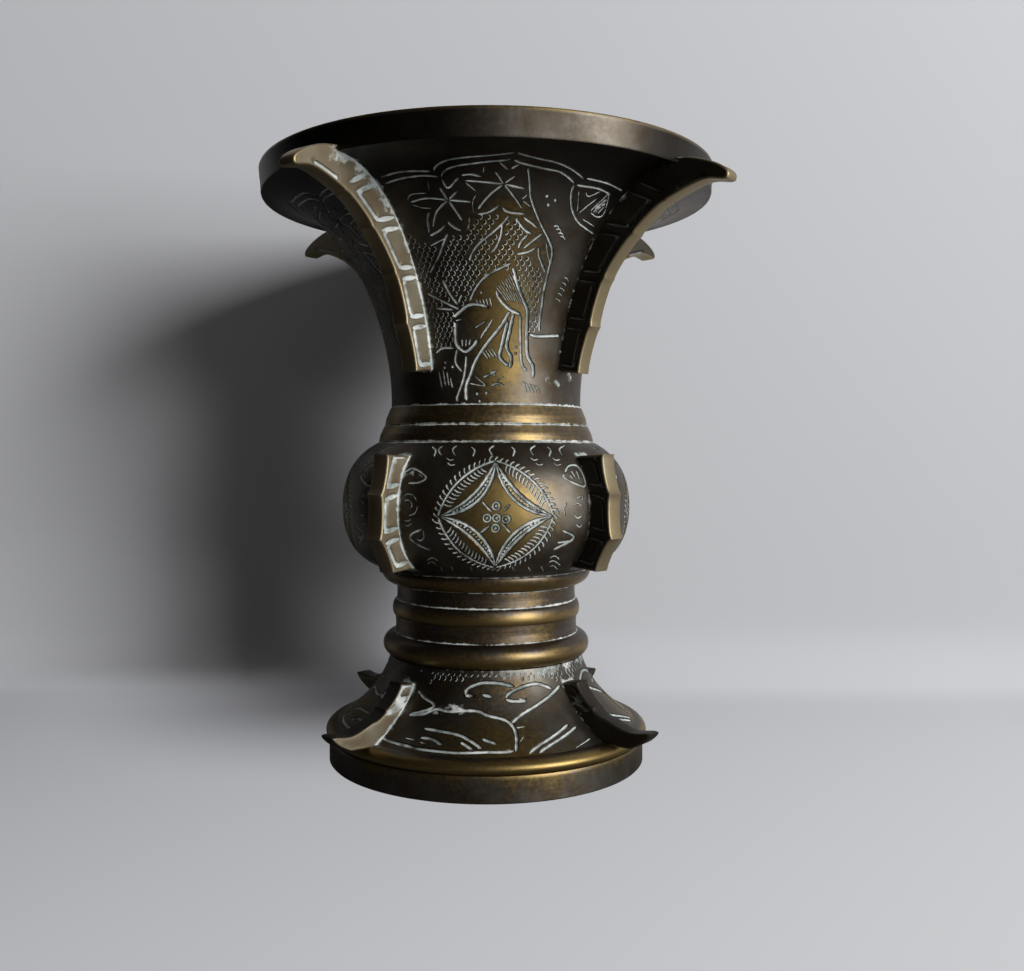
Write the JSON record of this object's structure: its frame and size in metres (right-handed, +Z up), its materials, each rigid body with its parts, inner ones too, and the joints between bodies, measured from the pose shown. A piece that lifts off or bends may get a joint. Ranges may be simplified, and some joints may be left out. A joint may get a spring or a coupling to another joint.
{
  "type": "beaker vase",
  "caption": "Bronze beaker vase with a trumpet mouth, round belly, ringed stem and flared foot, engraved, with bamboo-stalk flanges on neck, belly and foot.",
  "frame": {"origin": "centre of the base ring's underside, on the vase's axis", "axes": "+Z up the vase's axis towards the mouth, -Y to the front panel, +X to the right of it"},
  "size_m": [0.1164, 0.1164, 0.15],
  "materials": {
    "dark_bronze": "cast bronze with a dark brown patina, rubbed to the metal on the front and the ridges",
    "rubbed_bronze": "turned bronze, patina worn thin by handling",
    "flange_bronze": "bronze plate, engraved as bamboo, pale residue in the cuts"
  },
  "bodies": {
    "root": {"base_ring": "dark_bronze", "bottom_plate": "dark_bronze", "foot": "dark_bronze", "stem": "rubbed_bronze", "bulb": "dark_bronze", "collar": "rubbed_bronze", "neck": "dark_bronze", "neck_flange_1": "flange_bronze", "neck_flange_2": "flange_bronze", "neck_flange_3": "flange_bronze", "neck_flange_4": "flange_bronze", "bulb_flange_1": "flange_bronze", "bulb_flange_2": "flange_bronze", "bulb_flange_3": "flange_bronze", "bulb_flange_4": "flange_bronze", "foot_flange_1": "flange_bronze", "foot_flange_2": "flange_bronze", "foot_flange_3": "flange_bronze", "foot_flange_4": "flange_bronze"}
  },
  "joints": []
}
